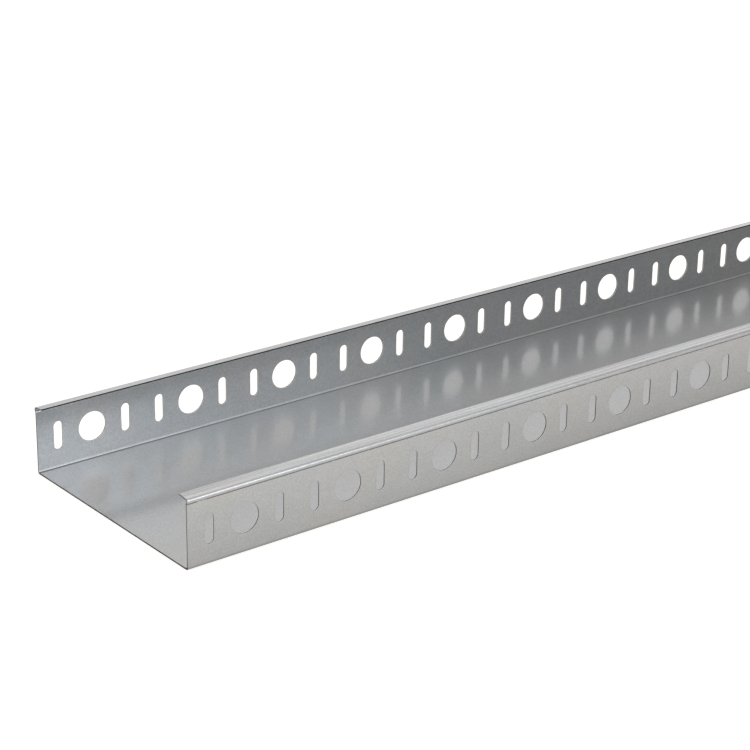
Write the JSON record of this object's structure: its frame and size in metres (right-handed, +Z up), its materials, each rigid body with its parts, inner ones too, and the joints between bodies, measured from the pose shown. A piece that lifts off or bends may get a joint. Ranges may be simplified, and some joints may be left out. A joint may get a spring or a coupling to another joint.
{
  "type": "perforated cable tray",
  "caption": "Straight length of galvanised steel cable tray, folded from one sheet: plain base, side walls punched with slots and round holes, return flanges along the top.",
  "frame": {"origin": "centre of the base's underside, half way along the tray", "axes": "+X along the tray, +Y across it, +Z up out of the open top"},
  "size_m": [2, 0.227, 0.061],
  "materials": {
    "galvanised_steel": "hot-dip galvanised sheet, satin grey with faint streaks along the length"
  },
  "bodies": {
    "root": {"tray": "galvanised_steel"}
  },
  "joints": []
}
